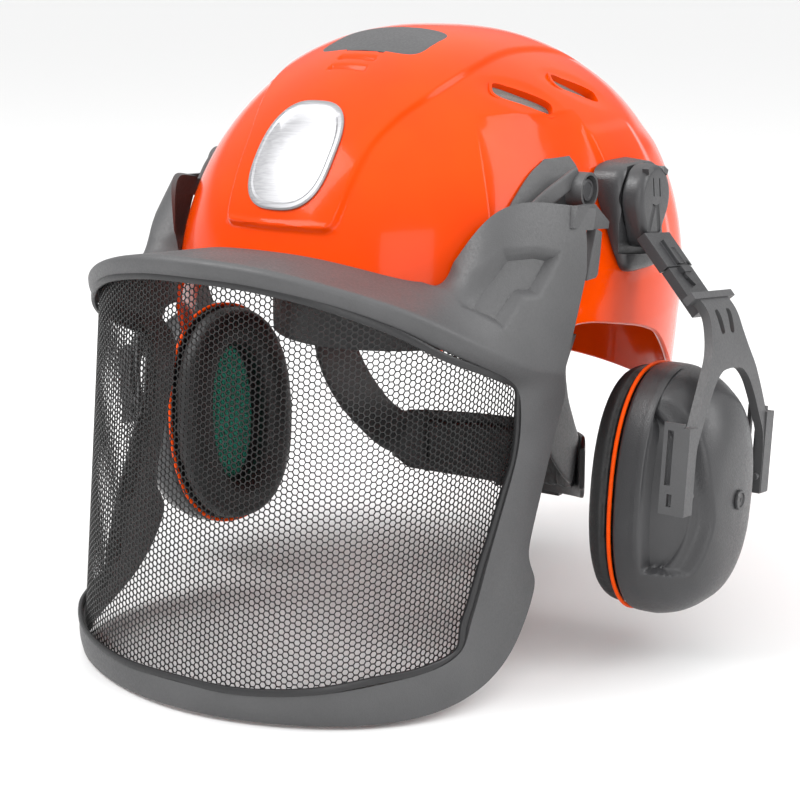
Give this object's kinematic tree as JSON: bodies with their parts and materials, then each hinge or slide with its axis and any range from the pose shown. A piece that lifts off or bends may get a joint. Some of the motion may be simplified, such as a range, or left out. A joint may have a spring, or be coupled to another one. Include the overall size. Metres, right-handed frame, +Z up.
{
  "type": "forestry helmet",
  "caption": "Forestry helmet with a vented orange dome, a hinged mesh face visor under a wide peak, swing-out ear cups on forked arms, and a ratchet headband.",
  "frame": {"origin": "centre of the wearer's head inside the headband, level with the top of the ear cut-outs in the dome's rim", "axes": "-Y to the front, +X to the wearer's left, +Z up to the crown"},
  "size_m": [0.3351, 0.3465, 0.2808],
  "materials": {
    "shell_orange": "glossy orange ABS",
    "grey_plastic": "fine textured mid grey",
    "dark_plastic": "fine textured dark grey",
    "black_plastic": "satin black",
    "black_steel_mesh": "black coated wire mesh, drawn solid",
    "soft_black": "soft black skin over foam",
    "webbing": "woven black textile",
    "green_foam": "open-cell dark green foam",
    "brushed_silver": "brushed silver face",
    "trim_orange": "satin orange"
  },
  "bodies": {
    "helmet": {"brow_pad": "soft_black", "crown_pad": "soft_black", "crown_plate_front": "grey_plastic", "crown_plate_rear": "grey_plastic", "crown_strap_front": "webbing", "crown_strap_rear": "webbing", "front_badge": "brushed_silver", "harness_clip_front_left": "black_plastic", "harness_clip_front_right": "black_plastic", "harness_clip_rear_left": "black_plastic", "harness_clip_rear_right": "black_plastic", "headband": "black_plastic", "muff_adapter_left": "dark_plastic", "muff_adapter_right": "dark_plastic", "shell": "shell_orange", "vent_front_left_grille": "black_steel_mesh", "vent_front_right_grille": "black_steel_mesh", "vent_rear_left_grille": "black_steel_mesh", "vent_rear_right_grille": "black_steel_mesh", "visor_adapter_left": "grey_plastic", "visor_adapter_right": "grey_plastic", "visor_knob_left": "dark_plastic", "visor_knob_right": "dark_plastic"},
    "visor": {"visor_frame": "grey_plastic", "visor_mesh": "black_steel_mesh", "mesh_seal": "black_plastic", "visor_arm_left": "grey_plastic", "visor_arm_right": "grey_plastic", "wing_clip_left": "grey_plastic", "wing_clip_right": "grey_plastic"},
    "nape": {"nape_arm_left": "black_plastic", "nape_arm_right": "black_plastic", "nape_plate": "black_plastic", "nape_pad": "soft_black", "ratchet_case": "black_plastic"},
    "knob": {"ratchet_knob": "black_plastic"},
    "pivot_left": {"muff_pivot_head_left": "dark_plastic"},
    "arm_left": {"muff_arm_upper_left": "dark_plastic", "muff_arm_lower_left": "dark_plastic"},
    "fork_left": {"muff_fork_left": "grey_plastic"},
    "cup_left": {"cup_shell_left": "dark_plastic", "cup_trim_ring_left": "trim_orange", "cup_cushion_left": "soft_black", "cup_seat_left": "black_plastic", "cup_foam_left": "green_foam", "cup_button_left": "dark_plastic"},
    "pivot_right": {"muff_pivot_head_right": "dark_plastic"},
    "arm_right": {"muff_arm_upper_right": "dark_plastic", "muff_arm_lower_right": "dark_plastic"},
    "fork_right": {"muff_fork_right": "grey_plastic"},
    "cup_right": {"cup_shell_right": "dark_plastic", "cup_trim_ring_right": "trim_orange", "cup_cushion_right": "soft_black", "cup_seat_right": "black_plastic", "cup_foam_right": "green_foam", "cup_button_right": "dark_plastic"}
  },
  "joints": [
    {"name": "visor_hinge", "type": "hinge", "parent": "helmet", "child": "visor", "pos_m": [0, -0.042, 0.0655], "axis": [-1, 0, 0], "range_deg": [0, 100]},
    {"name": "ratchet_turn", "type": "hinge", "parent": "nape", "child": "knob", "pos_m": [0, 0.102, -0.101], "axis": [0, 1, 0], "range_deg": [0, 300]},
    {"name": "nape_slide", "type": "slide", "parent": "helmet", "child": "nape", "axis": [0, -1, 0], "range_m": [0, 0.00785]},
    {"name": "muff_swivel_left", "type": "hinge", "parent": "helmet", "child": "pivot_left", "pos_m": [0.109, -0.008, 0.058], "axis": [-1, 0, 0], "range_deg": [-20, 15]},
    {"name": "muff_hinge_left", "type": "hinge", "parent": "pivot_left", "child": "arm_left", "pos_m": [0.122, -0.00967, 0.04209], "axis": [0, 0.9945, -0.1045], "range_deg": [-10, 18]},
    {"name": "muff_slide_left", "type": "slide", "parent": "arm_left", "child": "fork_left", "axis": [0.6703, -0.0776, -0.738], "range_m": [-0.005, 0.008]},
    {"name": "cup_tilt_left", "type": "hinge", "parent": "fork_left", "child": "cup_left", "pos_m": [0.168, -0.02096, -0.06532], "axis": [0, 0.9945, -0.1045], "range_deg": [-10, 10]},
    {"name": "muff_swivel_right", "type": "hinge", "parent": "helmet", "child": "pivot_right", "pos_m": [-0.109, -0.008, 0.058], "axis": [-1, 0, 0], "range_deg": [-20, 4]},
    {"name": "muff_hinge_right", "type": "hinge", "parent": "pivot_right", "child": "arm_right", "pos_m": [-0.122, -0.00995, 0.04212], "axis": [0, -0.9925, 0.1219], "range_deg": [-10, 12]},
    {"name": "muff_slide_right", "type": "slide", "parent": "arm_right", "child": "fork_right", "axis": [-0.5677, -0.1003, -0.8171], "range_m": [-0.002, 0.008]},
    {"name": "cup_tilt_right", "type": "hinge", "parent": "fork_right", "child": "cup_right", "pos_m": [-0.15152, -0.02338, -0.06726], "axis": [0, -0.9925, 0.1219], "range_deg": [-12, 5]}
  ],
  "couplings": [
    {"joint": "ratchet_turn", "follows": "nape_slide", "rad_per_m": 666.67}
  ]
}
